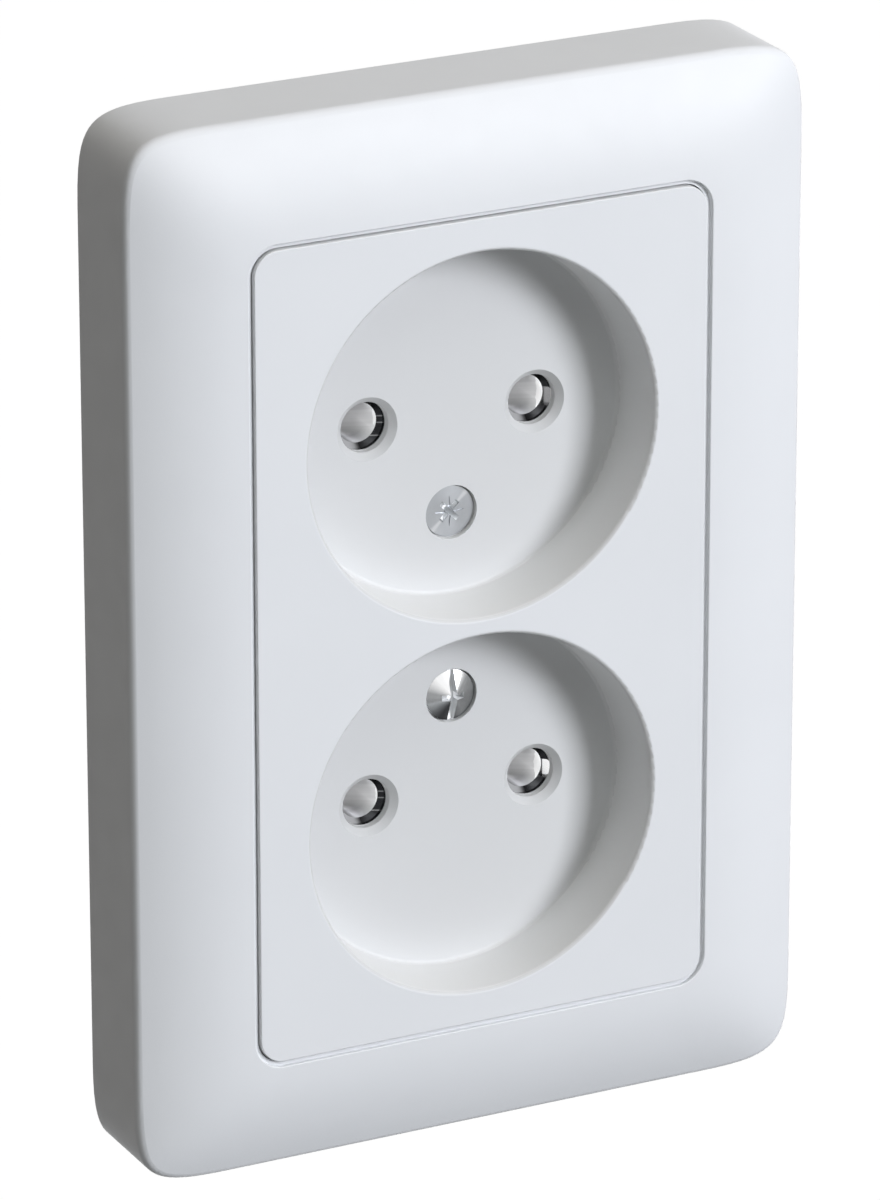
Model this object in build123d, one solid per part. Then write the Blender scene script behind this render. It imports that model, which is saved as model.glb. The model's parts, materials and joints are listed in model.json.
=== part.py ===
from build123d import *
import math
import os

os.makedirs("parts", exist_ok=True)

# Double two-pin wall socket with a surround frame, for a round wall box.
# Millimetres. Seen from the room, X runs right and Z runs up, and Y runs into the wall.
# The origin is the middle of the wall plane, where the frame's back rim and the strap's back lie.

# Sizes set by the plug and by the wall box
pin_spacing = 19.0
pin_reach = 19.0
box_screw_spacing = 60.0

# Clearances: pieces that only pass each other, threads and plugged-in pieces, and moving pieces
pass_gap = 0.3
seat_gap = 0.05
slide_gap = 0.15

# Centre plate with its two plug recesses
plate_width = 50.8
plate_height = 87.4
plate_corner = 2.6
plate_thickness = 1.6
plate_edge_round = 0.12
plate_skirt_wall = 1.4
plate_skirt_depth = 4.4
recess_dia = 39.1
recess_draft = 0.35
recess_depth = 7.3
recess_spacing = 41.1
recess_rim_round = 0.45
recess_floor_round = 0.4
recess_wall = 1.5
recess_floor = 1.5
plate_rib = 1.2

# Pin holes in the recess floors
pin_hole_dia = 5.4
pin_hole_lead = 0.7

# Cover screws, one in each recess
cover_screw_spacing = 20.1
cover_head_dia = 5.46
cover_head_gap = 0.19
cover_head_sink = 0.5
cover_raised_sink = 0.25
cover_raised_dome = 0.85
cover_raised_tip_dia = 1.092
cover_seat_depth = 0.75
cover_shank_dia = 2.9
cover_shank_length = 9.0
cover_boss_dia = 8.8
cover_boss_height = 2.3

# Surround frame
frame_band = 12.1
frame_depth = 14.0
frame_corner_reach = 10.0
frame_corner_setback = 2.35
frame_crown = 12.5
frame_drop = 3.13
frame_edge_round = 1.1
frame_wall = 2.0
frame_skin = 2.1
groove = 0.6
groove_depth = 0.5
ledge_width = 2.0
ledge_thickness = 2.0
inner_wall = 1.4
inner_wall_depth = 6.0
frame_rib = 1.2
frame_rib_depth = 8.0
frame_rib_spacing = 30.0

# Contact sleeves and their rings
sleeve_bore_dia = 4.3
sleeve_wall = 0.95
sleeve_lip = 0.49
sleeve_mouth_depth = 0.9
sleeve_collar_step = 0.2
sleeve_collar_length = 2.2
sleeve_bottom = 0.8
sleeve_tip_room = 0.7
sleeve_slit = 0.7
sleeve_slit_length = 13.0
sleeve_flat_width = 1.9
sleeve_flat_cut = 0.1
sleeve_flat_drop = 0.4
sleeve_tail_dia = 3.6
sleeve_tail_length = 1.5
ring_thickness = 0.4
ring_length = 3.5
ring_place = 7.5
ring_opening = 2.4

# Contact rails
rail_width = 7.0
rail_thickness = 1.0
rail_end = 3.4
rail_back_room = 1.2

# Tunnel terminals and their screws
terminal_offset = 5.0
terminal_width = 7.8
terminal_height = 6.8
terminal_depth = 9.0
terminal_spacing = 18.0
tunnel_dia = 3.6
tunnel_place = 5.4
wire_entry_dia = 4.2
terminal_shank_dia = 3.4
terminal_shank_length = 6.4
terminal_head_dia = 5.5
terminal_head_height = 2.2
terminal_head_gap = 3.0

# Socket base and rear cover
base_corner = 13.0
base_end_wall = 0.85
base_side_wall = 2.6
pocket_gap = 0.9
wing_height = 30.0
wing_corner = 3.0
wing_margin = 0.5
rear_cover_thickness = 1.8
rear_cover_edge = 0.6
rear_screw_spacing = 37.0
rear_screw_dia = 2.2
rear_screw_length = 9.0
rear_head_dia = 4.4
rear_head_height = 1.4

# Threaded inserts for the cover screws
insert_dia = 4.8
insert_length = 7.4
insert_collar_dia = 5.8
insert_collar = 1.0

# Mounting strap and its rivets
strap_thickness = 1.0
strap_room = 1.95
strap_corner = 8.0
strap_margin = 4.2
strap_flange = 3.0
strap_flange_length = 40.0
box_slot_width = 3.8
box_slot_length = 5.6
rivet_dia = 2.6
rivet_head_dia = 4.6
rivet_head_height = 0.8
rivet_spacing = 20.0
rivet_head_gap = 0.4

# Spreader claws, their screws and nuts
claw_angle = 30.0
claw_travel = 6.0
claw_width = 9.0
claw_sheet = 1.2
claw_root = 4.4
claw_foot_place = 9.5
claw_reach = 3.2
claw_tooth = 1.3
claw_tab_web = 1.2
claw_screw_dia = 3.0
claw_screw_tip = 1.0
claw_head_dia = 6.0
claw_head_height = 2.0
claw_hole_gap = 0.4
nut_width = 6.0
nut_height = 2.4

# Driver recesses in the screw heads
cross_reach = 1.35
cross_width = 0.55
cross_depth = 1.1
slot_width = 0.65
slot_depth = 0.7
cover_slot_width = 0.75
cover_slot_depth = 1.15
cover_arm_length = 2.5
cover_arm_width = 0.65
cover_arm_depth = 0.95
tick_start = 0.5
tick_length = 1.2
tick_width = 0.35
tick_depth = 0.12

# Where the seam of a turned face lies, in degrees from the right towards the top
seam_place = 55.0

# Depths along Y, from the plate's face to the back of the base
face_y = -frame_depth
ledge_y = face_y + plate_thickness
floor_y = face_y + recess_depth
base_front = floor_y + recess_floor
strap_front = -strap_thickness
collar_back = base_front + sleeve_collar_length
mouth_back = base_front + sleeve_mouth_depth
bore_back = floor_y + pin_reach + sleeve_tip_room
rail_front = bore_back + sleeve_bottom
rail_back = rail_front + rail_thickness
base_back = rail_back + rail_back_room
cover_back = base_back + rear_cover_thickness
terminal_front = rail_front - terminal_depth
tunnel_y = terminal_front + tunnel_place
boss_back = base_front + cover_boss_height
insert_front = boss_back + seat_gap
insert_back = insert_front + insert_length

# Places across the face
pin_x = pin_spacing / 2
recess_z = recess_spacing / 2
recess_floor_dia = recess_dia - 2 * recess_draft
cover_screw_z = cover_screw_spacing / 2
cover_hole_dia = cover_head_dia + 2 * cover_head_gap
sleeve_mouth_dia = sleeve_bore_dia + 2 * sleeve_lip
sleeve_tube_dia = sleeve_bore_dia + 2 * sleeve_wall
sleeve_collar_dia = sleeve_tube_dia + 2 * sleeve_collar_step
terminal_x = pin_x + terminal_offset
terminal_z = terminal_spacing / 2
opening_width = plate_width + 2 * groove
opening_height = plate_height + 2 * groove
frame_width = opening_width + 2 * frame_band
frame_height = opening_height + 2 * frame_band
pocket_dia = sleeve_tube_dia + 2 * pocket_gap
base_half_width = terminal_x + terminal_width / 2 + base_side_wall
base_half_height = recess_z + pocket_dia / 2 + base_end_wall
rivet_x = base_half_width + rivet_head_dia / 2 + rivet_head_gap
wing_half_width = rivet_x + rivet_head_dia / 2 + wing_margin
claw_screw_x = base_half_width + nut_width / 2 + pass_gap
strap_half_width = frame_width / 2 - frame_wall - strap_room
strap_half_height = box_screw_spacing / 2 + box_slot_length / 2 + strap_margin

SIDES = {"left": -1, "right": 1}
LEVELS = {"upper": 1, "lower": -1}


def slab(outline, front, back):
    """An outline in X and Z, as thick as from one depth to another."""
    return extrude(Plane.XZ.offset(-back) * outline, back - front)


def rod(x, z, dia, front, back):
    return slab(Pos(x, z) * Circle(dia / 2), front, back)


def turned(x, z, *points):
    """A body turned about a line along Y, from points of radius and depth."""
    profile = make_face(Polyline(*points, close=True))
    return Pos(x, 0, z) * Rot(0, -seam_place, 0) * revolve(profile, Axis.Y)


def block(x_range, y_range, z_range):
    """A box between two values on each axis."""
    ranges = (x_range, y_range, z_range)
    size = [high - low for low, high in ranges]
    middle = [(low + high) / 2 for low, high in ranges]
    return Pos(*middle) * Box(*size)


def side_rod(y, z, dia, x_start, x_end):
    """A round bar along X."""
    return Plane.YZ.offset(x_start) * Pos(y, z) * extrude(Circle(dia / 2), x_end - x_start)


def four_places(x, z):
    return [(side * x, level * z) for side in (-1, 1) for level in (-1, 1)]


# Surround frame


def soft_rectangle(width, height, reach, setback):
    """A rectangle whose corners start to round a reach away and pass a setback inside the sharp corner."""
    half_x = width / 2
    half_z = height / 2
    handle = (4 * math.sqrt(2) * setback - reach) / 3
    curves = []
    for index, (side, level) in enumerate(((1, 1), (1, -1), (-1, -1), (-1, 1))):
        points = [(side * (half_x - run), level * half_z) for run in (reach, handle)]
        points += [(side * half_x, level * (half_z - run)) for run in (handle, reach)]
        if index % 2:
            points.reverse()
        curves.append(Bezier(*points))
    sides = [Line(curves[index - 1] @ 1, curves[index] @ 0) for index in range(4)]
    return make_face(curves + sides)


def crown(width, height, corner_reach, corner_setback, reach, depth, drop):
    """A soft rectangle on the wall plane whose front falls away to its four sides in one arc."""
    arc_radius = (reach**2 + drop**2) / (2 * drop)
    sweep = math.asin(reach / arc_radius)
    inner_reach = plate_corner + groove
    inner_setback = (math.sqrt(2) - 1) * inner_reach
    steps = 5
    sections = []
    for step in range(steps + 1):
        angle = sweep * step / steps
        inset = reach - arc_radius * math.sin(angle)
        y = arc_radius * (1 - math.cos(angle)) - depth
        outline = soft_rectangle(
            width - 2 * inset,
            height - 2 * inset,
            corner_reach + (inner_reach - corner_reach) * inset / reach,
            corner_setback + (inner_setback - corner_setback) * inset / reach,
        )
        sections.append(Plane.XZ.offset(-y) * outline)
    foot = slab(soft_rectangle(width, height, corner_reach, corner_setback), drop - depth, 0)
    return foot + loft(sections)


def frame_ribs():
    """Stiffening ribs across the hollow between the inner wall and the outer wall."""
    low = face_y
    high = face_y + frame_rib_depth
    half = frame_rib / 2
    ribs = []
    for turn, inner, outer, places in (
        (0, opening_width / 2, frame_width / 2, (-frame_rib_spacing, 0, frame_rib_spacing)),
        (90, opening_height / 2, frame_height / 2, (-frame_rib_spacing / 2, frame_rib_spacing / 2)),
    ):
        for place in places:
            rib = block((inner, outer), (low, high), (place - half, place + half))
            ribs += [Rot(0, turn, 0) * rib, Rot(0, turn + 180, 0) * rib]
    return ribs


def surround_frame():
    edge_y = frame_drop - frame_depth
    arc_radius = (frame_crown**2 + frame_drop**2) / (2 * frame_drop)
    hollow_crown = frame_crown - frame_wall
    hollow_arc = arc_radius - frame_skin
    hollow_drop = hollow_arc - math.sqrt(hollow_arc**2 - hollow_crown**2)
    shell = crown(
        frame_width,
        frame_height,
        frame_corner_reach,
        frame_corner_setback,
        frame_crown,
        frame_depth,
        frame_drop,
    )
    edge = shell.edges().filter_by(lambda edge: abs(edge.center().Y - edge_y) < frame_edge_round / 10)
    shell = fillet(edge, frame_edge_round)
    hollow = crown(
        frame_width - 2 * frame_wall,
        frame_height - 2 * frame_wall,
        frame_corner_reach - frame_wall,
        frame_corner_setback - (math.sqrt(2) - 1) * frame_wall,
        hollow_crown,
        frame_depth - frame_skin,
        hollow_drop,
    )
    opening = RectangleRounded(opening_width, opening_height, plate_corner + groove)
    seat = offset(opening, slide_gap - groove)
    passage = offset(opening, -ledge_width)
    inner_ring = slab(offset(opening, inner_wall), face_y, face_y + inner_wall_depth)
    frame = shell - (hollow - inner_ring)
    frame += shell & frame_ribs()
    frame -= slab(opening, face_y - 1, face_y + groove_depth)
    frame -= slab(seat, face_y, ledge_y)
    frame -= slab(passage, face_y, 0)
    frame -= slab(opening, ledge_y + ledge_thickness, 0)
    rim = frame.edges().filter_by(lambda edge: edge.center().Y < face_y + plate_edge_round / 2)
    return fillet(rim, plate_edge_round)


# Centre plate


def recess_cut(z):
    """The room of one plug recess, with a rounded rim and a small round at the floor."""
    rim = recess_dia / 2
    low = recess_floor_dia / 2
    corner = (rim + recess_rim_round, face_y + recess_rim_round)
    root = (low - recess_floor_round, floor_y - recess_floor_round)
    rim_out = (corner[0], face_y)
    rim_in = (rim, corner[1])
    root_out = (low, root[1])
    root_in = (root[0], floor_y)
    profile = make_face(
        [
            Line((0, face_y - 1), (corner[0], face_y - 1)),
            Line((corner[0], face_y - 1), rim_out),
            TangentArc(rim_out, rim_in, tangent=(-1, 0)),
            Line(rim_in, root_out),
            TangentArc(root_in, root_out, tangent=(1, 0)),
            Line(root_in, (0, floor_y)),
            Line((0, floor_y), (0, face_y - 1)),
        ]
    )
    return Pos(0, 0, z) * Rot(0, -seam_place, 0) * revolve(profile, Axis.Y)


def pin_hole_cut(x, z):
    land = pin_hole_dia / 2
    wide = land + pin_hole_lead
    return turned(
        x,
        z,
        (0, floor_y - 1),
        (wide, floor_y - 1),
        (wide, floor_y),
        (land, floor_y + pin_hole_lead),
        (land, base_front + 1),
        (0, base_front + 1),
    )


def cover_hole_cut(z):
    """A screw hole with a countersink that keeps the seat gap from the head's cone."""
    wide = cover_hole_dia / 2
    narrow = cover_shank_dia / 2 + pass_gap
    cone_base = floor_y + cover_seat_depth + cover_head_dia / 2 + seat_gap
    return turned(
        0,
        z,
        (0, floor_y - 1),
        (wide, floor_y - 1),
        (wide, cone_base - wide),
        (narrow, cone_base - narrow),
        (narrow, boss_back + 1),
        (0, boss_back + 1),
    )


def centre_plate():
    face = RectangleRounded(plate_width, plate_height, plate_corner)
    skirt = offset(face, groove - ledge_width - pass_gap)
    plate = slab(face, face_y, ledge_y)
    rim = plate.edges().filter_by(lambda edge: edge.center().Y < face_y + 0.01)
    plate = fillet(rim, plate_edge_round)
    skirt_back = ledge_y + plate_skirt_depth
    plate += slab(skirt - offset(skirt, -plate_skirt_wall), ledge_y - plate_thickness / 2, skirt_back)
    rib_reach = plate_width / 2 - ledge_width - plate_skirt_wall
    for place in (-recess_z, 0, recess_z):
        rib = (place - plate_rib / 2, place + plate_rib / 2)
        plate += block((-rib_reach, rib_reach), (ledge_y - plate_thickness / 2, skirt_back), rib)
    cup_dia = recess_dia + 2 * recess_wall
    for level in (-1, 1):
        plate += rod(0, level * recess_z, cup_dia, face_y + recess_rim_round, base_front)
        plate += rod(0, level * cover_screw_z, cover_boss_dia, floor_y, boss_back)
    for level in (-1, 1):
        plate -= recess_cut(level * recess_z)
        plate -= cover_hole_cut(level * cover_screw_z)
    for x, z in four_places(pin_x, recess_z):
        plate -= pin_hole_cut(x, z)
    return plate


# Screws with their driver recesses


def cross_cut(x, z, top, turn):
    """A cross recess that narrows with depth, from a head's top."""
    bar = Rectangle(2 * cross_reach, cross_width)
    cross = Rot(0, 0, turn) * (bar + Rot(0, 0, 90) * bar)
    funnel = turned(
        0,
        0,
        (0, top - 1),
        (cross_reach, top - 1),
        (cross_reach, top),
        (cross_width / 2, top + cross_depth),
        (0, top + cross_depth),
    )
    return Pos(x, 0, z) * (slab(cross, top - 1, top + cross_depth) & funnel)


def slot_cut(x, z, width, height, bottom):
    """A driver slot of that width and height, from its bottom forward."""
    return slab(Pos(x, z) * Rectangle(width, height), bottom - max(width, height), bottom)


def tick_cut(z, top):
    """Four pointed marks on a head, between the arms of its cross recess."""
    root = tick_width / 2
    point = tick_start + tick_length
    mark = make_face(Polyline((tick_start, -root), (point, 0), (tick_start, root), close=True))
    marks = [Rot(0, 0, turn) * mark for turn in (0, 90, 180, 270)]
    return Pos(0, 0, z) * slab(Sketch() + marks, top - 1, top + tick_depth)


def cover_screw(z, crown, rim_y):
    """A countersunk screw: crown is the list of head points in front of its seat."""
    head = cover_head_dia / 2
    shank = cover_shank_dia / 2
    seat = floor_y + cover_seat_depth
    neck = seat + head - shank
    tip = neck + cover_shank_length
    return turned(
        0,
        z,
        *crown,
        (head, rim_y),
        (head, seat),
        (shank, neck),
        (shank, tip - shank / 2),
        (shank / 2, tip),
        (0, tip),
    )


def upper_cover_screw():
    top = floor_y + cover_head_sink
    screw = cover_screw(cover_screw_z, [(0, top)], top)
    screw -= cross_cut(0, cover_screw_z, top, 45)
    return screw - tick_cut(cover_screw_z, top)


def lower_cover_screw():
    rim_y = floor_y + cover_raised_sink
    top = rim_y - cover_raised_dome
    tip = cover_raised_tip_dia / 2
    screw = cover_screw(-cover_screw_z, [(0, top), (tip, top)], rim_y)
    slot_height = 2 * cover_head_dia
    screw -= slot_cut(0, -cover_screw_z, cover_slot_width, slot_height, top + cover_slot_depth)
    return screw - slot_cut(0, -cover_screw_z, cover_arm_length, cover_arm_width, top + cover_arm_depth)


def plain_screw(x, z, head_dia, head_top, seat, shank_dia, tip):
    """A screw with a flat cylindrical head, driven by a slot with a cross recess."""
    edge = slot_depth / 3
    body = turned(
        x,
        z,
        (0, head_top),
        (head_dia / 2 - edge, head_top),
        (head_dia / 2, head_top + edge),
        (head_dia / 2, seat),
        (shank_dia / 2, seat),
        (shank_dia / 2, tip - shank_dia / 4),
        (shank_dia / 4, tip),
        (0, tip),
    )
    body -= slot_cut(x, z, slot_width, 2 * head_dia, head_top + slot_depth)
    return body - cross_cut(x, z, head_top, 0)


# Contacts


def contact_sleeve(side, level):
    """A slit tube with a flared mouth and a flat on its outer side, riveted to the rail at the back."""
    x = side * pin_x
    z = level * recess_z
    collar = sleeve_collar_dia / 2
    tube = sleeve_tube_dia / 2
    tail = sleeve_tail_dia / 2
    sleeve = turned(
        x,
        z,
        (0, base_front),
        (collar, base_front),
        (collar, collar_back),
        (tube, collar_back),
        (tube, rail_front),
        (tail, rail_front),
        (tail, rail_front + sleeve_tail_length),
        (0, rail_front + sleeve_tail_length),
    )
    sleeve -= turned(
        x,
        z,
        (0, base_front - 1),
        (sleeve_mouth_dia / 2, base_front - 1),
        (sleeve_mouth_dia / 2, mouth_back - sleeve_lip),
        (sleeve_bore_dia / 2, mouth_back),
        (sleeve_bore_dia / 2, bore_back),
        (0, bore_back),
    )
    slit_range = (z - sleeve_slit / 2, z + sleeve_slit / 2)
    slit_depth = (base_front - 1, base_front + sleeve_slit_length)
    sleeve -= block((x - sleeve_collar_dia, x), slit_depth, slit_range)
    foot = side * (sleeve_bore_dia / 2 + math.sqrt(2) * sleeve_flat_cut)
    run = mouth_back - base_front + 1
    flat = make_face(
        Polyline(
            (0, base_front - 1),
            (foot + side * run, base_front - 1),
            (foot, mouth_back),
            (0, mouth_back),
            close=True,
        )
    )
    return sleeve - Pos(x, 0, z - sleeve_flat_drop) * extrude(flat, sleeve_flat_width / 2, both=True)


def spring_ring(side, level):
    """An open steel ring that closes the slit tube on the pin."""
    x = side * pin_x
    z = level * recess_z
    inner = sleeve_tube_dia / 2 + seat_gap
    front = base_front + ring_place
    back = front + ring_length
    ring = Circle(inner + ring_thickness) - Circle(inner)
    body = slab(Pos(x, z) * ring, front, back)
    gap = (z - ring_opening / 2, z + ring_opening / 2)
    return body - block((x - sleeve_collar_dia, x), (front - 1, back + 1), gap)


def rail_outline(side, grow):
    """A rail's outline, larger by a clearance on every side."""
    strip_height = recess_spacing + 2 * rail_end + 2 * grow
    strip = RectangleRounded(rail_width + 2 * grow, strip_height, rail_width / 3)
    outline = Pos(side * pin_x, 0) * strip
    tab_end = terminal_x + terminal_width / 2 + grow
    tab_width = tab_end - pin_x
    for level in (-1, 1):
        middle = side * (pin_x + tab_width / 2)
        outline += Pos(middle, level * terminal_z) * Rectangle(tab_width, terminal_height + 2 * grow)
    return outline


def contact_rail(side):
    rail = slab(rail_outline(side, 0), rail_front, rail_back)
    for level in (-1, 1):
        hole_dia = sleeve_tail_dia + 2 * seat_gap
        rail -= rod(side * pin_x, level * recess_z, hole_dia, rail_front - 1, rail_back + 1)
    return rail


def terminal(side, level):
    """A block with a tunnel for the wire and a threaded hole for the clamping screw."""
    x = side * terminal_x
    z = level * terminal_z
    half_x = terminal_width / 2
    half_z = terminal_height / 2
    body = block((x - half_x, x + half_x), (terminal_front, rail_front), (z - half_z, z + half_z))
    hole_dia = terminal_shank_dia + 2 * seat_gap
    body -= rod(x, z, hole_dia, terminal_front - 1, tunnel_y)
    return body - side_rod(tunnel_y, z, tunnel_dia, x - terminal_width, x + terminal_width)


def terminal_screws():
    seat = terminal_front - terminal_head_gap
    top = seat - terminal_head_height
    tip = seat + terminal_shank_length
    return [
        plain_screw(x, z, terminal_head_dia, top, seat, terminal_shank_dia, tip)
        for x, z in four_places(terminal_x, terminal_z)
    ]


# Socket base, rear cover and inserts


def base_outline():
    return RectangleRounded(2 * base_half_width, 2 * base_half_height, base_corner)


def ramp_x(y):
    """Where the claw's ramp lies at a depth, out from the middle."""
    start = base_half_width - claw_root
    return start + (base_back - y) * math.tan(math.radians(claw_angle))


def claw_channel(side):
    """The room beside the base in which a claw slides out along its ramp."""
    far = 2 * base_half_width
    room = make_face(
        Polyline(
            (side * ramp_x(cover_back + 1), cover_back + 1),
            (side * far, cover_back + 1),
            (side * far, base_back - far),
            (side * ramp_x(base_back - far), base_back - far),
            close=True,
        )
    )
    half = claw_width / 2 + pass_gap
    return Pos(0, 0, -half) * extrude(room, 2 * half, dir=(0, 0, 1))


def contact_pockets():
    cuts = []
    for x, z in four_places(pin_x, recess_z):
        cuts.append(rod(x, z, sleeve_collar_dia + 2 * seat_gap, base_front - 1, collar_back))
        cuts.append(rod(x, z, pocket_dia, collar_back, base_back + 1))
    for side in (-1, 1):
        cuts.append(slab(rail_outline(side, pass_gap), rail_front, base_back + 1))
    return cuts


def terminal_pockets():
    cuts = []
    room = Rectangle(terminal_width + 2 * pass_gap, terminal_height + 2 * pass_gap)
    for x, z in four_places(terminal_x, terminal_z):
        side = math.copysign(1, x)
        outside = sorted((x, x + side * base_half_width))
        cuts.append(slab(Pos(x, z) * room, terminal_front, base_back + 1))
        cuts.append(rod(x, z, terminal_head_dia + 2 * pass_gap, base_front - 1, terminal_front))
        cuts.append(side_rod(tunnel_y, z, wire_entry_dia, *outside))
    return cuts


def screw_pockets():
    cuts = []
    for level in (-1, 1):
        z = level * cover_screw_z
        cuts.append(rod(0, z, cover_boss_dia + 2 * pass_gap, base_front - 1, boss_back + seat_gap))
        cuts.append(rod(0, z, insert_collar_dia + 2 * seat_gap, boss_back, insert_front + insert_collar))
        cuts.append(rod(0, z, insert_dia + 2 * seat_gap, boss_back, insert_back))
        cuts.append(rod(0, z, cover_shank_dia + 2 * pass_gap, insert_back, rail_front))
        rear_z = level * rear_screw_spacing / 2
        tip = cover_back - rear_screw_length
        cuts.append(rod(0, rear_z, rear_screw_dia + 2 * seat_gap, tip - 1, base_back + 1))
    return cuts


def socket_base():
    base = slab(base_outline(), base_front, base_back)
    wings = RectangleRounded(2 * wing_half_width, wing_height, wing_corner)
    for side in (-1, 1):
        room = claw_head_dia + 2 * pass_gap
        wings -= Pos(side * claw_screw_x, 0) * Circle(room / 2)
        wings -= Pos(side * (claw_screw_x + room), 0) * Rectangle(2 * room, room)
    for x, z in four_places(rivet_x, rivet_spacing / 2):
        wings -= Pos(x, z) * Circle(rivet_dia / 2 + seat_gap)
    base += slab(wings, base_front, strap_front)
    cuts = contact_pockets() + terminal_pockets() + screw_pockets()
    cuts += [claw_channel(-1), claw_channel(1)]
    return base - cuts


def rear_cover():
    cover = slab(base_outline(), base_back, cover_back)
    rim = cover.edges().filter_by(lambda edge: edge.center().Y > cover_back - 0.01)
    cover = chamfer(rim, rear_cover_edge)
    for level in (-1, 1):
        z = level * rear_screw_spacing / 2
        cover -= rod(0, z, rear_screw_dia + 2 * pass_gap, base_back - 1, cover_back + 1)
    return cover - [claw_channel(-1), claw_channel(1)]


def rear_cover_screws():
    top = cover_back + rear_head_height
    tip = cover_back - rear_screw_length
    screws = []
    for level in (-1, 1):
        screw = plain_screw(0, 0, rear_head_dia, -top, -cover_back, rear_screw_dia, -tip)
        screws.append(Pos(0, 0, level * rear_screw_spacing / 2) * Rot(180, 0, 0) * screw)
    return screws


def cover_screw_inserts():
    hole = cover_shank_dia / 2 + seat_gap
    collar = insert_collar_dia / 2
    bush = insert_dia / 2
    return [
        turned(
            0,
            level * cover_screw_z,
            (hole, insert_front),
            (collar, insert_front),
            (collar, insert_front + insert_collar),
            (bush, insert_front + insert_collar),
            (bush, insert_back),
            (hole, insert_back),
        )
        for level in (-1, 1)
    ]


# Mounting strap and rivets


def mounting_strap():
    plate = RectangleRounded(2 * strap_half_width, 2 * strap_half_height, strap_corner)
    plate -= offset(base_outline(), pass_gap)
    slot = SlotOverall(box_slot_length, box_slot_width)
    for turn in (0, 90, 180, 270):
        plate -= Rot(0, 0, turn) * Pos(box_screw_spacing / 2, 0) * slot
    for side in (-1, 1):
        plate -= Pos(side * claw_screw_x, 0) * Circle(claw_screw_dia / 2 + claw_hole_gap)
    for x, z in four_places(rivet_x, rivet_spacing / 2):
        plate -= Pos(x, z) * Circle(rivet_dia / 2 + seat_gap)
    strap = slab(plate, strap_front, 0)
    half = strap_flange_length / 2
    for side in (-1, 1):
        edge = sorted((side * strap_half_width, side * (strap_half_width - strap_thickness)))
        strap += block(edge, (strap_front - strap_flange, 0), (-half, half))
    return strap


def strap_rivets():
    head = rivet_head_dia / 2
    shank = rivet_dia / 2
    return [
        turned(
            x,
            z,
            (0, base_front - rivet_head_height),
            (head - rivet_head_height / 2, base_front - rivet_head_height),
            (head, base_front),
            (shank, base_front),
            (shank, 0),
            (head, 0),
            (head - rivet_head_height / 2, rivet_head_height),
            (0, rivet_head_height),
        )
        for x, z in four_places(rivet_x, rivet_spacing / 2)
    ]


# Spreader claws with their screws and nuts

claw_spread = claw_travel * math.sin(math.radians(claw_angle))
claw_tab_back = base_back + claw_sheet
claw_foot_y = base_back - claw_foot_place
nut_front = claw_tab_back + slide_gap
nut_back = nut_front + nut_height


def claw(side):
    """A bent strip: a slotted tab at the back, a leg along the ramp and a forked, toothed foot."""
    slope = math.cos(math.radians(claw_angle))
    lean = slide_gap / slope
    leg = claw_sheet / slope
    passage = claw_screw_dia / 2 + claw_hole_gap
    slot_start = claw_screw_x - passage - claw_spread
    tab_end = claw_screw_x + passage + claw_tab_web
    foot_end = claw_screw_x + claw_reach
    foot_back = claw_foot_y + claw_sheet
    profile = make_face(
        Polyline(
            (ramp_x(claw_tab_back) + lean, claw_tab_back),
            (tab_end, claw_tab_back),
            (tab_end, base_back),
            (ramp_x(base_back) + lean + leg, base_back),
            (ramp_x(foot_back) + lean + leg, foot_back),
            (foot_end, foot_back),
            (foot_end, claw_foot_y),
            (ramp_x(claw_foot_y) + lean, claw_foot_y),
            close=True,
        )
    )
    half = claw_width / 2
    strip = Pos(0, 0, -half) * extrude(profile, claw_width)
    prong = (half + passage) / 2
    tooth_root = foot_end - claw_tooth
    plan = make_face(
        Polyline(
            (0, -half),
            (tooth_root, -half),
            (foot_end, -prong),
            (tooth_root, -passage),
            (tooth_root, passage),
            (foot_end, prong),
            (tooth_root, half),
            (0, half),
            close=True,
        )
    )
    strip = strip & slab(plan, claw_foot_y - 1, claw_tab_back + 1)
    strip -= block((slot_start, foot_end + 1), (claw_foot_y - 1, base_back), (-passage, passage))
    slot_end = tab_end - claw_tab_web
    strip -= block((slot_start, slot_end), (base_back, claw_tab_back + 1), (-passage, passage))
    return strip if side > 0 else mirror(strip, Plane.YZ)


def claw_screw(side):
    x = side * claw_screw_x
    seat = strap_front - slide_gap
    top = seat - claw_head_height
    return plain_screw(x, 0, claw_head_dia, top, seat, claw_screw_dia, nut_back + claw_screw_tip)


def claw_nut(side):
    outline = Rectangle(nut_width, nut_width) - Circle(claw_screw_dia / 2 + seat_gap)
    return slab(Pos(side * claw_screw_x, 0) * outline, nut_front, nut_back)


def write(name, shape):
    """One node's file. A list is a group of like pieces in one node."""
    if isinstance(shape, list):
        shape = Compound(children=[Solid(piece.solid().wrapped) for piece in shape])
    export_step(shape, f"parts/{name}.step")


write("surround_frame", surround_frame())
write("centre_plate", centre_plate())
write("upper_cover_screw", upper_cover_screw())
write("lower_cover_screw", lower_cover_screw())
write("socket_base", socket_base())
write("rear_cover", rear_cover())
write("rear_cover_screws", rear_cover_screws())
write("cover_screw_inserts", cover_screw_inserts())
write("mounting_strap", mounting_strap())
write("strap_rivets", strap_rivets())
write("terminal_screws", terminal_screws())
for side_name, side in SIDES.items():
    write(f"{side_name}_rail", contact_rail(side))
    write(f"{side_name}_claw", claw(side))
    write(f"{side_name}_claw_screw", claw_screw(side))
    write(f"{side_name}_claw_nut", claw_nut(side))
    for level_name, level in LEVELS.items():
        write(f"{level_name}_{side_name}_sleeve", contact_sleeve(side, level))
        write(f"{level_name}_{side_name}_spring_ring", spring_ring(side, level))
        write(f"{level_name}_{side_name}_terminal", terminal(side, level))
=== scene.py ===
import json
import math

import bpy
from mathutils import Matrix, Vector


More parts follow.
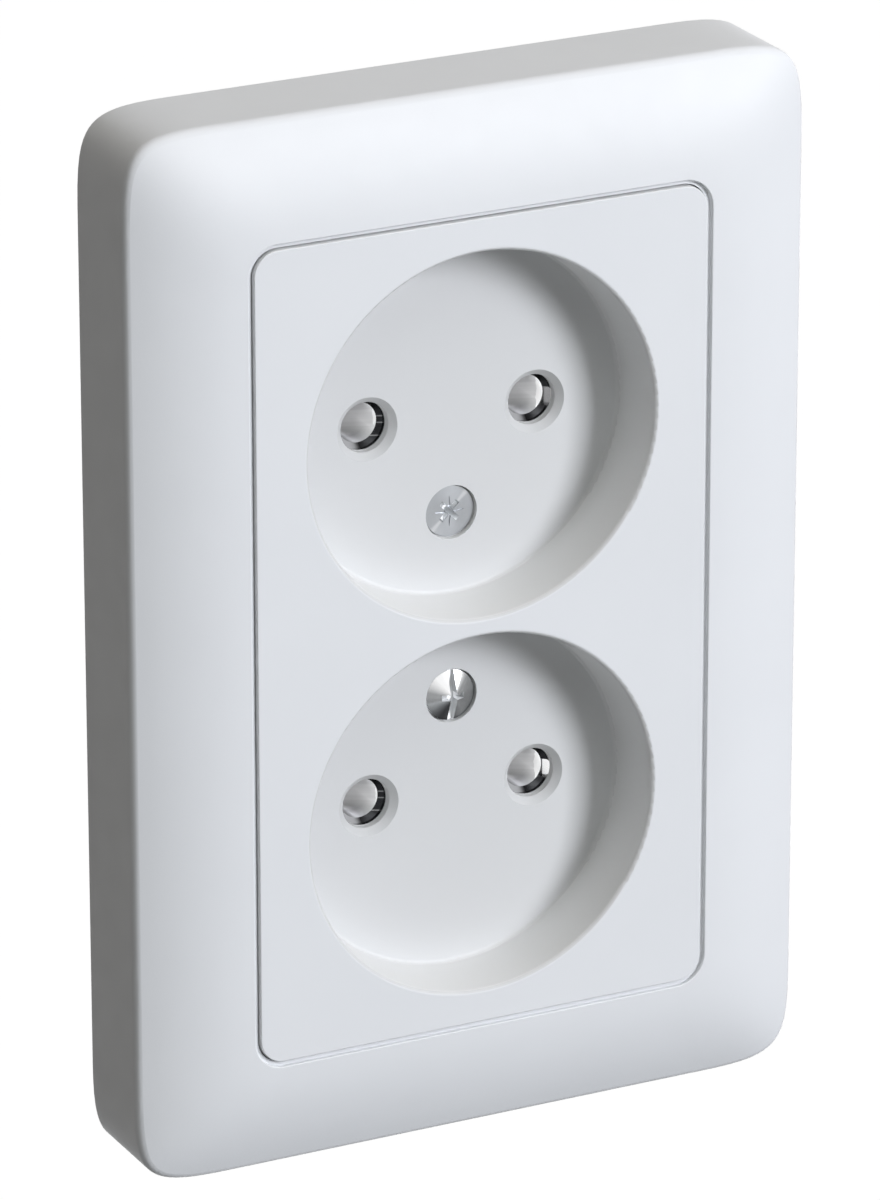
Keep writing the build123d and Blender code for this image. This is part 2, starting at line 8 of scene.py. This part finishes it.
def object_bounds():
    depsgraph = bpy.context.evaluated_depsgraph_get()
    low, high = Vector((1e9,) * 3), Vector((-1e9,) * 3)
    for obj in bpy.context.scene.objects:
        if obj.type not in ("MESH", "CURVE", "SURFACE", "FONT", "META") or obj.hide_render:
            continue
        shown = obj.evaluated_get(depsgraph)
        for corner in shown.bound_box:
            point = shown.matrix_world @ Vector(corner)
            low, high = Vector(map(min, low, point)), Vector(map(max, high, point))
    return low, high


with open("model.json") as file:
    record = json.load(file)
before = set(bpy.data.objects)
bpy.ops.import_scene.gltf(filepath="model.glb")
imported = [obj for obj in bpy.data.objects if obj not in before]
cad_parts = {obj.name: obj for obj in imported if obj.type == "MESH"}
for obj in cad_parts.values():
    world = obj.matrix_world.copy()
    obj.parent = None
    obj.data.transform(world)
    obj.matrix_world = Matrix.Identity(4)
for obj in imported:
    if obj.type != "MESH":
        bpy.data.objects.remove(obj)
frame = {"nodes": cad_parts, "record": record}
cad_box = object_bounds()
scene = bpy.context.scene
scene.view_settings.view_transform = "Standard"

# Metres and degrees. Seen from the room, X runs right and Z runs up, and Y runs into the wall.

# Camera at the photograph's viewing angle
camera_aim = Vector((0.0014, -0.0013, -0.0016))
camera_azimuth = -26.62
camera_elevation = 20.84
camera_distance = 0.825
camera_roll = -0.05
camera_lens = 239.9
camera_sensor = 36.0
camera_near = 0.05

# Lamps, seen from the object: degrees right of the front and up from level, width and height,
# and the light that a white surface facing the lamp gets from it
lamp_distance = 1.3
lamps = {
    "key": (33.0, 18.5, 0.42, 0.58, (0.880, 0.897, 0.938)),
    "top_front": (-20.0, 52.0, 0.90, 0.50, (0.164, 0.175, 0.177)),
    "top": (20.0, 78.0, 1.80, 0.60, (0.298, 0.286, 0.266)),
    "low": (-25.0, -50.0, 0.90, 0.90, (0.167, 0.175, 0.178)),
    "back": (150.0, -8.0, 0.90, 0.30, (0.700, 0.700, 0.700)),
}
unmirrored_lamps = ("back",)

# Surroundings
world_ambient = (0.062, 0.050, 0.037)
background_color = (1.0, 1.0, 1.0)
floor_color = (0.06, 0.06, 0.06)
floor_drop = 1.30
floor_size = 24.0

# Scales of the noises, per metre, and how far a noise moves a roughness up and down
drift_scale = 60.0
satin_scale, satin_change = 400.0, 0.03
cloud_scale = 500.0
gloss_scale, gloss_change = 1500.0, 0.06

# White plastic, and the painted shade that darkens it on the floors, walls and slopes sunk behind
# the plate's face: what looks to the front is a floor, what looks across is a wall
pale, paler = (0.757, 0.772, 0.797), (0.775, 0.790, 0.815)
floor_painted_shade, wall_painted_shade = (0.672, 0.680, 0.690), (0.715, 0.718, 0.718)
slope_painted_shade = (0.625, 0.630, 0.635)
white_roughness, white_specular = 0.46, 0.28
face_depth = -0.0140
painted_shade_depths = (face_depth + 0.000005, face_depth + 0.00004)
wall_facing = (-0.9, -0.6)
slope_facing, slope_range = -0.7, (0.16, 0.29)

# Contact sleeves: places as in the part, and the photograph's right and up as shares of
# right, up and back, by which the drawn lines and the glint lie
pin_x, pin_level = 0.0095, 0.02055
mouth_back = -0.0043
picture_right = (0.894, 0.0, -0.448)
picture_up = (0.17, 1.0, 0.34)
streak_scale = 2500.0

# The sleeves' bores: grey, with painted shade low down near the mouth and a painted white glint at
# the right
bore_light, bore_dark = (0.82, 0.82, 0.825), (0.74, 0.74, 0.745)
bore_painted_shade, bore_painted_shade_range = (0.22, 0.22, 0.225), (-0.0021, -0.0010)
bore_shade_near_range = (mouth_back + 0.0020, mouth_back + 0.0060)
bore_roughness = 0.5
painted_glint_color = (1.0, 1.0, 1.0)
painted_glint_place, painted_glint_shift, painted_glint_edge = 0.00143, 0.00021, 5e-5
wander_scale, wander_reach = 900.0, 1.2e-4
ridge_slope = 1.5
ridge_pit_scale, ridge_pit_depth = 4000.0, 3e-6

# The sleeves' mouths: painted dark as shade and painted light at the left as lit, with drawn lines
# in the left sleeves and a flat in the right ones, painted as a reflection
mouth_front = (0.45, 0.45, 0.455)
mouth_front_facing = (-0.95, -0.85)
# Painted shade for the mouth, and a painted lit side at its left
mouth_painted_shade, mouth_painted_deep_shade = (0.036, 0.036, 0.038), (0.026, 0.026, 0.028)
mouth_painted_light, mouth_painted_light_range = (0.52, 0.52, 0.525), (-0.0011, 0.0001)
mouth_gloss, mouth_dull = 0.25, 1.0
line_color = (0.24, 0.24, 0.24)
line_depth, line_half_width = -0.0059, 7e-5
line_places = (0.00127, 0.00056, -0.00084)
# The flat in the right sleeves is painted as a reflection: grey in the upper ones, white in the
# lower
flat_painted_grey_reflection, flat_painted_white_reflection = (0.30, 0.30, 0.305), (0.95, 0.95, 0.95)
flat_width, flat_drop, flat_reach = 0.0019, 0.0004, 0.002244

# Cover screws: places as in the part, and the depth behind which a driver recess is sunk
cover_screw_level = 0.01005
cross_level, slot_level = -0.00605, -0.00643
head_cloud_scale = 900.0
head_gloss_scale, head_gloss_change = 1800.0, 0.04
head_pit_scale, head_pit_depth = 5000.0, 2e-6
sunk_roughness = 0.6
turning_angle = 0.25

# The flat head: grey with a painted highlight band across it, a cross painted light as glints, and
# painted grey shade in one arm of it
flat_head_light, flat_head_dark = (0.405, 0.42, 0.44), (0.365, 0.38, 0.40)
painted_highlight_band, band_share = (0.55, 0.56, 0.575), 0.8
band_across, band_range = 134.0, (0.05, 0.15)
cross_painted_glint, cross_painted_shade = (0.80, 0.81, 0.82), (0.44, 0.455, 0.475)
cross_shade_angle, cross_shade_range = 315.0, (0.3, 0.8)
flat_head_roughness, flat_head_drawn = 0.34, 0.3

# The raised head: grey, with a painted highlight at the top and painted shade at the lower left,
# and a slot painted pale to lift its shade
raised_head_light, raised_head_dark = (0.33, 0.338, 0.346), (0.29, 0.298, 0.306)
painted_shade_color = (0.035, 0.036, 0.038)
painted_shade_angle, painted_shade_range = 240.0, (0.45, 1.0)
painted_highlight_color = (0.94, 0.945, 0.95)
painted_highlight_angle, painted_highlight_range = 104.0, (0.48, 0.92)
slot_floor_painted_light, slot_wall_painted_light = (0.80, 0.81, 0.82), (0.62, 0.63, 0.64)
slot_wall_facing, slot_wall_reach = -0.5, 0.0026
raised_head_roughness, raised_head_drawn = 0.22, 0.75


def direction(azimuth, elevation):
    """The unit vector towards a place seen at that azimuth, right of the front, and elevation."""
    a, e = math.radians(azimuth), math.radians(elevation)
    return Vector((math.sin(a) * math.cos(e), -math.cos(a) * math.cos(e), math.sin(e)))


def look_at(place, aim, roll=0.0):
    """A transform that stands at a place and looks at another, level apart from a roll."""
    turn = (aim - place).to_track_quat("-Z", "Y").to_matrix()
    turn = turn @ Matrix.Rotation(math.radians(roll), 3, "Z")
    return Matrix.Translation(place) @ turn.to_4x4()


# Materials

# A Mix node's sockets for colours, which have the same names as its sockets for numbers
mix_first, mix_second, mix_result = 6, 7, 2


class Nodes:
    """The node tree of a material or a world, with short calls that add a node and feed it."""

    def __init__(self, owner, output):
        self.owner = owner
        owner.use_nodes = True
        self.tree = owner.node_tree
        self.tree.nodes.clear()
        self.output = self.add(output)

    def add(self, kind, settings=None, **sockets):
        node = self.tree.nodes.new("ShaderNode" + kind)
        for key, value in (settings or {}).items():
            setattr(node, key, value)
        for key, value in sockets.items():
            self.feed(node.inputs[key.replace("_", " ")], value)
        return node

    def feed(self, socket, value):
        """Links a socket to another, or sets it to a plain value."""
        if isinstance(value, bpy.types.NodeSocket):
            self.tree.links.new(value, socket)
        else:
            socket.default_value = value

    def place(self):
        return self.add("TexCoord").outputs["Object"]

    def axes(self):
        return self.add("SeparateXYZ", Vector=self.place()).outputs

    def facing(self):
        """How far the surface looks back: -1 to the front, 0 across, 1 to the wall."""
        normal = self.add("TexCoord").outputs["Normal"]
        return self.add("SeparateXYZ", Vector=normal).outputs["Y"]

    def noise(self, scale, detail=2.0):
        return self.add("TexNoise", Vector=self.place(), Scale=scale, Detail=detail).outputs["Fac"]

    def math(self, operation, *values, kind="Math"):
        node = self.add(kind, {"operation": operation})
        for socket, value in zip(node.inputs, values):
            self.feed(socket, value)
        return node.outputs[0]

    def spread(self, value, low, high, source=(0.3, 0.7)):
        """A value taken from a source range, by default a noise's usual one, to low and high."""
        node = self.add("MapRange", Value=value)
        for key, number in zip(("From Min", "From Max", "To Min", "To Max"), (*source, low, high)):
            node.inputs[key].default_value = number
        return node.outputs["Result"]

    def mix(self, factor, first, second):
        node = self.add("Mix", {"data_type": "RGBA"}, Factor=factor)
        for index, color in ((mix_first, first), (mix_second, second)):
            self.feed(node.inputs[index], (*color, 1.0) if isinstance(color, tuple) else color)
        return node.outputs[mix_result]

    def bump(self, height, distance, normal=None):
        node = self.add("Bump", Height=height, Distance=distance)
        if normal:
            self.feed(node.inputs["Normal"], normal)
        return node.outputs["Normal"]

    def background_share(self):
        """1 where a ray shows the background: to the camera, in a gloss or through glass."""
        path = self.add("LightPath").outputs
        share = self.math("MAXIMUM", path["Is Camera Ray"], path["Is Glossy Ray"])
        return self.math("MAXIMUM", share, path["Is Transmission Ray"])

    def surface(self, shader):
        """Ends the tree in a shader, and gives back the material or world."""
        self.feed(self.output.inputs["Surface"], shader)
        return self.owner

    def principled(self, **sockets):
        return self.surface(self.add("BsdfPrincipled", **sockets).outputs["BSDF"])


def material_nodes(name):
    return Nodes(bpy.data.materials.new(name), "OutputMaterial")


def paint_recess_shade(n, color):
    """A plate's colour, with painted shade on the floors, walls and slopes behind its face."""
    upright = n.spread(n.facing(), 0.0, 1.0, wall_facing)
    off_slope = n.math("ABSOLUTE", n.math("SUBTRACT", n.facing(), slope_facing))
    inner_shade = n.mix(upright, floor_painted_shade, wall_painted_shade)
    inner_shade = n.mix(n.spread(off_slope, 1.0, 0.0, slope_range), inner_shade, slope_painted_shade)
    return n.mix(n.spread(n.axes()["Y"], 0.0, 1.0, painted_shade_depths), color, inner_shade)


def moulded_plastic(name, light, dark, roughness, grain, depth, specular=0.5, plate=False):
    """Moulded plastic: a faint drift in colour, an uneven satin, a fine moulded grain and, on the
    plate, painted shade in its recesses.
    """
    n = material_nodes(name)
    drift = n.spread(n.noise(drift_scale, detail=3.0), 0.0, 1.0)
    satin = n.noise(satin_scale, detail=4.0)
    color = n.mix(drift, light, dark)
    # On the plate, painted shade darkens the floors, walls and slopes sunk behind its face
    if plate:
        color = paint_recess_shade(n, color)
    return n.principled(
        Base_Color=color,
        Roughness=n.spread(satin, roughness - satin_change, roughness + satin_change),
        Specular_IOR_Level=specular,
        Normal=n.bump(n.noise(grain, detail=3.0), depth),
    )


def plated_metal(name, light, dark, roughness, grain, depth):
    """Plated or rolled metal: cloudy tone, uneven gloss and fine pits."""
    n = material_nodes(name)
    cloud = n.spread(n.noise(cloud_scale, detail=4.0), 0.0, 1.0)
    gloss = n.noise(gloss_scale, detail=4.0)
    return n.principled(
        Base_Color=n.mix(cloud, light, dark),
        Metallic=1.0,
        Roughness=n.spread(gloss, roughness - gloss_change, roughness + gloss_change),
        Normal=n.bump(n.noise(grain, detail=3.0), depth),
    )


class Round:
    """Places round an axis along Y: right of it, above it, and how far they lean to an angle."""

    def __init__(self, n, x, z):
        self.n = n
        across, self.y, along = n.axes()
        self.right = n.math("SUBTRACT", across, x)
        self.up = n.math("SUBTRACT", along, z)
        squares = [n.math("MULTIPLY", value, value) for value in (self.right, self.up)]
        self.reach = n.math("SQRT", n.math("ADD", *squares))

    def along(self, right, up, back=0.0):
        """A sum of the distances to the right, up and back, each times its share."""
        total = self.n.math("MULTIPLY", self.right, right)
        for distance, share in ((self.up, up), (self.y, back)):
            if share:
                total = self.n.math("ADD", total, self.n.math("MULTIPLY", distance, share))
        return total

    def lean(self, degrees):
        """1 at that angle, counted from the right over the top, and -1 on the far side."""
        angle = math.radians(degrees)
        return self.n.math("DIVIDE", self.along(math.cos(angle), math.sin(angle)), self.reach)


def bore_tone(n, pin, side, streak):
    """A sleeve's bore: streaked grey, with painted shade low down near the mouth and a painted
    glint.
    """
    color = n.mix(streak, bore_light, bore_dark)
    # Painted shade, low down in the bore near the mouth
    low = n.spread(pin.up, 1.0, 0.0, bore_painted_shade_range)
    shade_near = n.spread(pin.y, 1.0, 0.0, bore_shade_near_range)
    color = n.mix(n.math("MULTIPLY", low, shade_near), color, bore_painted_shade)
    # A painted white glint along the bore's right side, its edge wandering
    wander = n.spread(n.noise(wander_scale), -wander_reach, wander_reach)
    place = n.math("ADD", pin.along(*picture_right), wander)
    start = painted_glint_place + picture_right[2] * mouth_back
    start = n.math("SUBTRACT", start, n.math("MULTIPLY", side, painted_glint_shift))
    painted_glint = n.spread(n.math("SUBTRACT", place, start), 0.0, 1.0, (0.0, painted_glint_edge))
    return n.mix(painted_glint, color, painted_glint_color)


def mouth_tone(n, pin, side, level, height, streak, painted_light_share):
    """A sleeve's mouth: painted shade and a painted lit side, drawn lines or a flat painted as a
    reflection, and a grey front edge.
    """
    color = n.mix(painted_light_share, n.mix(streak, mouth_painted_shade, mouth_painted_deep_shade), mouth_painted_light)
    left_one = n.math("LESS_THAN", side, 0.0)
    right_one = n.math("GREATER_THAN", side, 0.0)
    lower_one = n.math("LESS_THAN", level, 0.0)
    for place in line_places:
        line = n.math("COMPARE", height, place + picture_up[2] * line_depth, line_half_width)
        color = n.mix(n.math("MULTIPLY", line, left_one), color, line_color)
    # The flat, painted as a grey or white reflection
    flat = n.math("COMPARE", pin.up, -flat_drop, flat_width / 2)
    flat = n.math("MULTIPLY", flat, n.math("GREATER_THAN", pin.right, flat_reach))
    flat_painted_reflection = n.mix(lower_one, flat_painted_grey_reflection, flat_painted_white_reflection)
    color = n.mix(n.math("MULTIPLY", flat, right_one), color, flat_painted_reflection)
    front = n.spread(n.facing(), 1.0, 0.0, mouth_front_facing)
    return n.mix(front, color, mouth_front)


def contact_metal(name):
    """Plated sleeve: a drawn grey bore, ridged across, behind a mouth painted dark as shade."""
    n = material_nodes(name)
    across, _, along = n.axes()
    side, level = n.math("SIGN", across), n.math("SIGN", along)
    pin = Round(n, n.math("MULTIPLY", side, pin_x), n.math("MULTIPLY", level, pin_level))
    height = pin.along(*picture_up)
    lines = n.add("TexNoise", {"noise_dimensions": "1D"}, W=height, Scale=streak_scale, Detail=2.0)
    streak = n.spread(lines.outputs["Fac"], 0.0, 1.0)
    # How far the mouth shows its painted lit side rather than its painted shade
    painted_light_share = n.spread(pin.right, 1.0, 0.0, mouth_painted_light_range)
    mouth = mouth_tone(n, pin, side, level, height, streak, painted_light_share)
    inside = n.math("GREATER_THAN", pin.y, mouth_back)
    dullness = n.spread(painted_light_share, mouth_gloss, mouth_dull, (0.0, 1.0))
    dullness = n.math("MAXIMUM", dullness, n.math("MULTIPLY", inside, bore_roughness))
    tilt = n.add("CombineXYZ", Y=n.math("MULTIPLY", inside, -ridge_slope)).outputs["Vector"]
    normal = n.add("NewGeometry").outputs["Normal"]
    ridges = n.math("NORMALIZE", n.math("ADD", normal, tilt, kind="VectorMath"), kind="VectorMath")
    return n.principled(
        Base_Color=n.mix(inside, mouth, bore_tone(n, pin, side, streak)),
        Metallic=1.0,
        Roughness=dullness,
        Normal=n.bump(n.noise(ridge_pit_scale, detail=3.0), ridge_pit_depth, ridges),
    )


def turned_metal(n, color, roughness, sunk, drawn):
    """A turned screw head: gloss drawn out across the turning marks, dull where sunk."""
    gloss = n.noise(head_gloss_scale, detail=3.0)
    gloss = n.spread(gloss, roughness - head_gloss_change, roughness + head_gloss_change)
    return n.principled(
        Base_Color=color,
        Metallic=1.0,
        Roughness=n.math("MAXIMUM", gloss, n.math("MULTIPLY", sunk, sunk_roughness)),
        Anisotropic=drawn,
        Anisotropic_Rotation=turning_angle,
        Tangent=n.add("Tangent", {"direction_type": "RADIAL", "axis": "Y"}).outputs["Tangent"],
        Normal=n.bump(n.noise(head_pit_scale), head_pit_depth),
    )


def flat_head(name):
    """The upper cover screw: a flat face with a painted highlight band across it, and a cross
    recess painted as glints and shade.
    """
    n = material_nodes(name)
    head = Round(n, 0.0, cover_screw_level)
    cloud = n.spread(n.noise(head_cloud_scale, detail=4.0), 0.0, 1.0)
    face = n.mix(cloud, flat_head_light, flat_head_dark)
    # A painted highlight band across the face
    band = n.math("ABSOLUTE", head.lean(band_across))
    face = n.mix(n.spread(band, band_share, 0.0, band_range), face, painted_highlight_band)
    # The cross recess, painted light as glints, with painted shade in one arm
    arm_shade = n.spread(head.lean(cross_shade_angle), 0.0, 1.0, cross_shade_range)
    sunk = n.math("GREATER_THAN", head.y, cross_level)
    color = n.mix(sunk, face, n.mix(arm_shade, cross_painted_glint, cross_painted_shade))
    return turned_metal(n, color, flat_head_roughness, sunk, flat_head_drawn)


def raised_head(name):
    """The lower cover screw: a cone with painted shade on one side and a painted highlight on
    another, and a slot painted pale to lift its shade.
    """
    n = material_nodes(name)
    head = Round(n, 0.0, -cover_screw_level)
    cloud = n.spread(n.noise(head_cloud_scale, detail=4.0), 0.0, 1.0)
    color = n.mix(cloud, raised_head_light, raised_head_dark)
    # Painted shade at the lower left, and a painted highlight at the top
    color = n.mix(n.spread(head.lean(painted_shade_angle), 0.0, 1.0, painted_shade_range), color, painted_shade_color)
    color = n.mix(n.spread(head.lean(painted_highlight_angle), 0.0, 1.0, painted_highlight_range), color, painted_highlight_color)
    sunk = n.math("GREATER_THAN", head.y, slot_level)
    wall = n.math("GREATER_THAN", n.facing(), slot_wall_facing)
    wall = n.math("MULTIPLY", wall, n.math("LESS_THAN", head.reach, slot_wall_reach))
    # The slot's floor and walls, painted pale to lift their shade
    color = n.mix(wall, n.mix(sunk, color, slot_floor_painted_light), slot_wall_painted_light)
    sunk = n.math("MAXIMUM", sunk, wall)
    return turned_metal(n, color, raised_head_roughness, sunk, raised_head_drawn)


# One finish for each material slot, and the nodes that have a finish of their own
finishes = {
    "white_plastic": moulded_plastic(
        "white_plastic", paler, pale,
        roughness=white_roughness, grain=2600.0, depth=4e-6, specular=white_specular,
    ),
    "base_plastic": moulded_plastic(
        "base_plastic", (0.50, 0.50, 0.47), (0.46, 0.46, 0.43),
        roughness=0.55, grain=1800.0, depth=1e-5,
    ),
    "plated_contact": contact_metal("plated_contact"),
    "brass": plated_metal(
        "brass", (0.72, 0.53, 0.22), (0.62, 0.44, 0.17),
        roughness=0.30, grain=3000.0, depth=5e-6,
    ),
    "spring_steel": plated_metal(
        "spring_steel", (0.42, 0.43, 0.45), (0.34, 0.35, 0.37),
        roughness=0.30, grain=3000.0, depth=4e-6,
    ),
    "zinc_steel": plated_metal(
        "zinc_steel", (0.50, 0.51, 0.53), (0.38, 0.39, 0.41),
        roughness=0.36, grain=2500.0, depth=6e-6,
    ),
}
own_finishes = {
    "centre_plate": moulded_plastic(
        "plate_plastic", paler, pale,
        roughness=white_roughness, grain=3000.0, depth=4e-6, specular=white_specular, plate=True,
    ),
    "upper_cover_screw": flat_head("flat_screw"),
    "lower_cover_screw": raised_head("raised_screw"),
}
for part in frame["record"]["subparts"]:
    name = part["node"]
    mesh = frame["nodes"][name].data
    mesh.materials.clear()
    mesh.materials.append(own_finishes.get(name) or finishes[part["material_slot"]])


# Stage


def pale_floor():
    """A floor that is white to the camera and in gloss, and otherwise a dull grey."""
    z = cad_box[0][2] - floor_drop
    half = floor_size / 2
    corners = [(-half, -half, z), (half, -half, z), (half, half, z), (-half, half, z)]
    mesh = bpy.data.meshes.new("floor")
    mesh.from_pydata(corners, [], [(0, 1, 2, 3)])
    floor = bpy.data.objects.new("floor", mesh)
    scene.collection.objects.link(floor)
    n = material_nodes("floor")
    matte = n.add("BsdfDiffuse", Color=(*floor_color, 1.0))
    glow = n.add("Emission", Color=(*background_color, 1.0), Strength=n.background_share())
    both = n.add("AddShader")
    for socket, shader in zip(both.inputs, (matte, glow)):
        n.feed(socket, shader.outputs[0])
    mesh.materials.append(n.surface(both.outputs[0]))


def surroundings():
    """A world that is white to the camera and in gloss, and lights the object only faintly."""
    n = Nodes(bpy.data.worlds.new("studio"), "OutputWorld")
    color = n.mix(n.background_share(), world_ambient, background_color)
    scene.world = n.surface(n.add("Background", Color=color).outputs["Background"])


def lamp(name, azimuth, elevation, width, height, color):
    """A rectangular lamp that looks at the object, with the power that suits its distance."""
    data = bpy.data.lights.new(name, "AREA")
    data.shape = "RECTANGLE"
    data.size, data.size_y = width, height
    data.energy = (math.pi * lamp_distance) ** 2
    data.color = color
    lit = bpy.data.objects.new(name, data)
    scene.collection.objects.link(lit)
    place = direction(azimuth, elevation) * lamp_distance
    lit.matrix_world = look_at(place, Vector((0.0, 0.0, 0.0)))
    lit.visible_glossy = name not in unmirrored_lamps


def photo_camera():
    """The camera that sees the object as the photograph does."""
    data = bpy.data.cameras.new("camera")
    data.lens = camera_lens
    data.sensor_width = data.sensor_height = camera_sensor
    data.sensor_fit = "AUTO"
    data.clip_start = camera_near
    camera = bpy.data.objects.new("camera", data)
    scene.collection.objects.link(camera)
    place = camera_aim + direction(camera_azimuth, camera_elevation) * camera_distance
    camera.matrix_world = look_at(place, camera_aim, camera_roll)
    scene.camera = camera


pale_floor()
surroundings()
for name, values in lamps.items():
    lamp(name, *values)
photo_camera()
